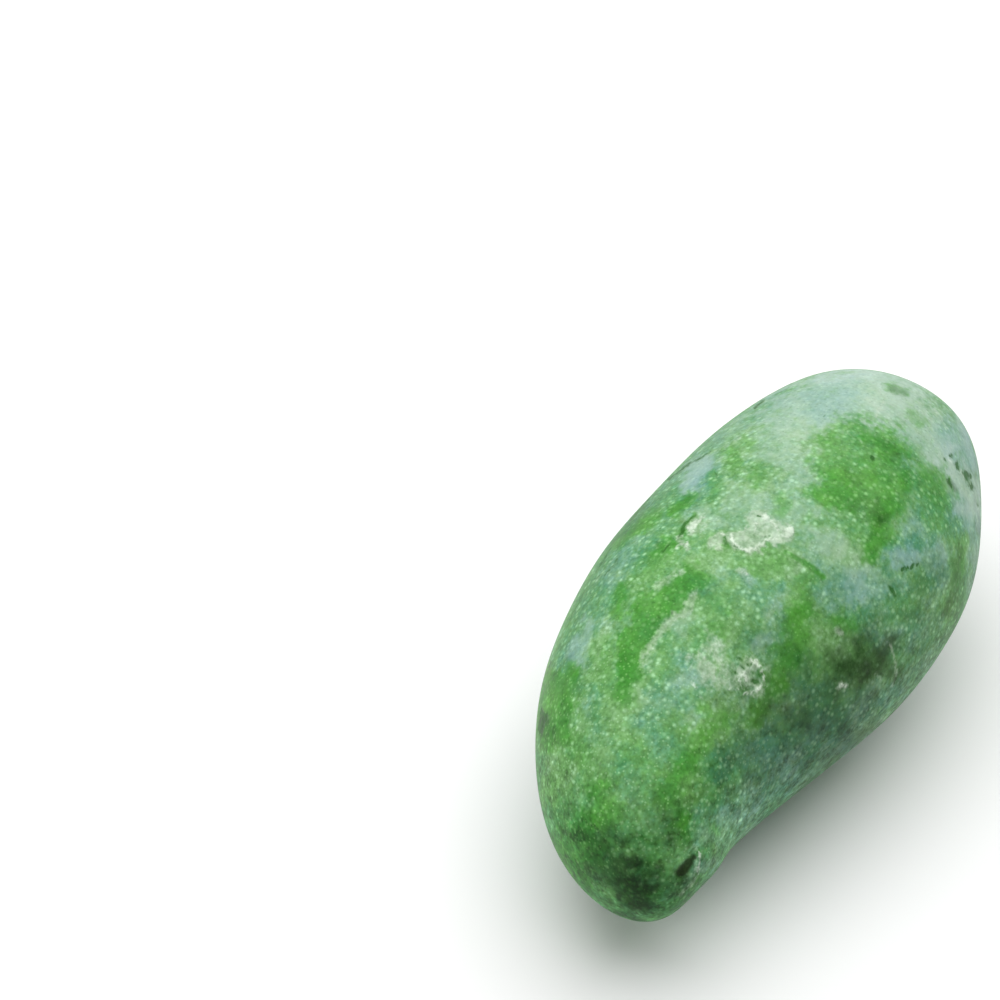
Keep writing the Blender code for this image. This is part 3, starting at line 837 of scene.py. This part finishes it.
def add_specks(n):
    """Light specks: cells in space cut by the skin, so that they differ in size. They are smaller
    towards the tip, and faint in thick bloom."""
    speck = n.ramp(n.cells(SPECK_CELL), n.total(SPECK_CORE), n.total(SPECK_EDGE), 1.0, 0.0)
    speck = n.times(speck, n["specks_kept"], n["varied"], n.total(SPECK_AT_TIP), n.total(SPECK_WHERE_RUBBED))
    speck = n.math("MULTIPLY", speck, n.total(SPECK_LOW_DOWN), clamp=True)
    n["speck"] = n.times(speck, n["clear"])


def waxed_green(n):
    """The green of the skin under its bloom, which is paler where it is thick and bluer low down."""
    green = n.coat(n.coat(paint("deep_green"), "mid_green"), "light_green")
    blue = n.ramp(n.total(HUE_HEIGHT), *BLUE_OF_HEIGHT)
    blue = n.math("MULTIPLY_ADD", n.total(HUE_NOISE), n["varied"], blue)
    blue = n.math("ADD", n.total(HUE_MARKS), blue, clamp=True)
    thin = n.mix(blue, paint("thin_warm_wax"), paint("thin_blue_wax"))
    thick = n.mix(blue, paint("thick_warm_wax"), paint("thick_blue_wax"))
    return n.mix(n["bloom"], green, n.mix(n.ramp(n["bloom"], *THICK_OF_BLOOM), thin, thick))


def specked(n, colour):
    """The colour with light specks, finer light dust and dark pores."""
    light = n.mix(n["bloom"], paint("speck_on_green"), paint("speck_on_wax"))
    colour = n.mix(n.times(n["speck"], SPECK_SHARE), colour, n.mix(SPECK_LIGHT, colour, light))
    dust = n.times(n.ramp(n.cells(DUST_CELL), *DOT_OF_CELL), n["dusty"], n["clear"])
    light = n.mix(n["bloom"], paint("dust_on_green"), paint("dust_on_wax"))
    colour = n.mix(dust, colour, n.mix(DUST_LIGHT, colour, light))
    turned = n.stretched((1.0, 1.0, 1.0), PORE_TURN)
    pore = n.times(n.ramp(n.cells(PORE_CELL, turned), *DOT_OF_CELL), n.total(PORE_SHARE))
    return n.mix(pore, colour, n.mix(PORE_DARKNESS, colour, paint("pore")))


def bruised_with_painted_shade(n, colour):
    """The colour with its bruised skin, and with painted shade darkening the lower right side and the apex.
    """
    shade = n.math("MULTIPLY", n["shaded"], n.total(SHADE_SHARE), clamp=True)
    return n.mix(shade, colour, n.mix(1.0, colour, SHADE_TINT, "MULTIPLY"))


def scarred(n, colour):
    """The colour with dark spots, beige film, cream ridges of cork, scratches, the beak's scar, and
    the stem end's pale collar with a dark line where the stalk comes out."""
    film = n.coat(paint("dim_film"), "pale_film")
    colour = n.coat(n.coat(colour, "spot"), "film", film)
    for name in ("ridge", "scratch", "scar", "collar", "root"):
        colour = n.coat(colour, name)
    return colour


def skin_grain(n):
    """Light and dark grain about 1: weak in thick bloom, strong low down and at the tip."""
    light = n.math("MULTIPLY_ADD", n.total(GRAIN), n.total(GRAIN_DEPTH), 1.0)
    light = n.math("MULTIPLY_ADD", n["patchy"], n.times(n["deep"], LOW_PATCHES), light)
    light = n.math("MULTIPLY_ADD", n["mottled"], n.total(MOTTLING), light)
    return n.math("MAXIMUM", light, DARKEST_GRAIN)


def skin_material():
    n = Skin()
    add_bloom(n)
    add_specks(n)
    n["film"] = n.times(n["film"], n.total(CORK_LEFT))
    n["ridge"] = n.times(n["ridge"], n.total(CORK_LEFT))
    colour = scarred(n, bruised_with_painted_shade(n, specked(n, waxed_green(n))))
    n.feed(n.shader.inputs["Base Color"], n.mix(1.0, colour, skin_grain(n), "MULTIPLY"))
    n.feed(n.shader.inputs["Roughness"], n.total(ROUGHNESS))
    n.feed(n.shader.inputs["Normal"], n.bump(n.total(HEIGHT), *SKIN_BUMP))
    n.shader.inputs["IOR"].default_value = WAX_IOR
    n.shader.inputs["Specular IOR Level"].default_value = SKIN_SPECULAR
    return n.material


def stalk_material():
    n = Nodes("dry_stalk")
    fibre = n.noise(*FIBRE_NOISE, n.stretched(FIBRE_STRETCH))
    blotch = n.noise(*BLOTCH_NOISE)
    colour = n.mix(n.ramp(fibre, *FIBRE_RAMP), paint("dark_fibre"), paint("light_fibre"))
    colour = n.mix(n.ramp(blotch, *BLOTCH_RAMP), colour, paint("fibre_blotch"))
    n.feed(n.shader.inputs["Base Color"], colour)
    n.feed(n.shader.inputs["Roughness"], n.ramp(blotch, *STALK_ROUGHNESS, smooth=False))
    n.feed(n.shader.inputs["Normal"], n.bump(fibre, FIBRE_BUMP))
    return n.material


def stub_profile():
    """How far each ring of the stub stands out of its base, and its radius, with rounded corners."""
    rows = np.linspace(0.0, 1.0, len(STUB_PROFILE))
    steps = np.linspace(0.0, 1.0, STUB_RINGS)
    weights = np.array(STUB_SOFTENING) / sum(STUB_SOFTENING)
    edge = len(weights) // 2
    columns = []
    for values in zip(*STUB_PROFILE):
        column = np.interp(steps, rows, values)
        column[edge:-edge] = np.convolve(column, weights, "valid")
        columns.append(column)
    return columns


def make_stub():
    """The stub stands along +X, rooted in the collar."""
    low, high = (np.array(corner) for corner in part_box("stem_stub"))
    middle = (low + high) / 2.0
    base = np.array([high[0] - STUB_TOP, middle[1], middle[2]])
    along, out = stub_profile()
    angle = np.linspace(0.0, 2.0 * np.pi, STUB_SECTORS, endpoint=False)
    share = np.clip(along / STUB_TOP, 0.0, 1.0)[:, None]
    sway, bunches = RIDGE_CROWDING
    finer, finer_count, start = FINER_RIDGES
    ridges = np.sin(STUB_RIDGES * angle + sway * np.sin(bunches * angle))
    ridges = ridges + finer * np.sin(finer_count * angle + start)
    radius = out[:, None] * (1.0 + STUB_LOBE_SHARE * share * np.cos(STUB_LOBES * angle)[None, :])
    radius = radius + STUB_GRAIN * share * ridges[None, :]
    x = np.broadcast_to(along[:, None], radius.shape)
    rings = base + np.stack([x, radius * np.cos(angle), radius * np.sin(angle)], axis=-1)
    ends = base + np.array([[STUB_TOP, 0.0, 0.0], [along[0], 0.0, 0.0]])
    vertices = np.concatenate([rings.reshape(-1, 3), ends])
    return add_mesh("stem_stub_wood", vertices, tube_faces(STUB_RINGS, STUB_SECTORS))


def add_camera():
    data = bpy.data.cameras.new("camera")
    data.sensor_width = SENSOR_WIDTH
    data.lens = FOCAL_PIXELS / PHOTO_WIDTH * SENSOR_WIDTH
    camera = bpy.data.objects.new("camera", data)
    forward = camera_axes()[2]
    camera.location = CAMERA_AT
    camera.rotation_euler = Vector(tuple(forward)).to_track_quat("-Z", "Y").to_euler()
    bpy.context.collection.objects.link(camera)
    bpy.context.scene.camera = camera


def add_light(name, offset, size, power):
    """A square soft light that faces the fruit's middle."""
    right = camera_axes()[0]
    above = np.array([0.0, 0.0, 1.0])
    middle = HALF_HEIGHT * above
    place = middle + offset[0] * right + offset[1] * above + offset[2] * np.cross(above, right)
    data = bpy.data.lights.new(name, "AREA")
    data.shape = "SQUARE"
    data.size = size
    data.energy = power
    light = bpy.data.objects.new(name, data)
    light.location = tuple(place)
    light.rotation_euler = Vector(tuple(middle - place)).to_track_quat("-Z", "Y").to_euler()
    bpy.context.collection.objects.link(light)


def add_floor():
    bpy.ops.mesh.primitive_plane_add(size=FLOOR_SIZE, location=(0.0, 0.0, 0.0))
    floor = bpy.context.active_object
    floor.name = "floor"
    material = bpy.data.materials.new("floor")
    material.use_nodes = True
    shader = material.node_tree.nodes["Principled BSDF"]
    shader.inputs["Base Color"].default_value = FLOOR_COLOUR
    shader.inputs["Roughness"].default_value = FLOOR_ROUGHNESS
    floor.data.materials.append(material)


def add_studio():
    add_floor()
    world = bpy.data.worlds.new("studio")
    world.use_nodes = True
    background = world.node_tree.nodes["Background"]
    background.inputs["Color"].default_value = WORLD_COLOUR
    background.inputs["Strength"].default_value = WORLD_STRENGTH
    bpy.context.scene.world = world
    for light in LIGHTS:
        add_light(*light)
    bpy.context.scene.view_settings.view_transform = "Standard"


def main():
    add_camera()
    fruit, vertices = make_fruit()
    add_marks(fruit, vertices)
    add_bake_map(fruit)
    fruit.data.materials.append(skin_material())
    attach(fruit, "root")
    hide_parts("fruit")
    stub = make_stub()
    stub.data.materials.append(stalk_material())
    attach(stub, "root")
    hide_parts("stem_stub")
    add_studio()


main()
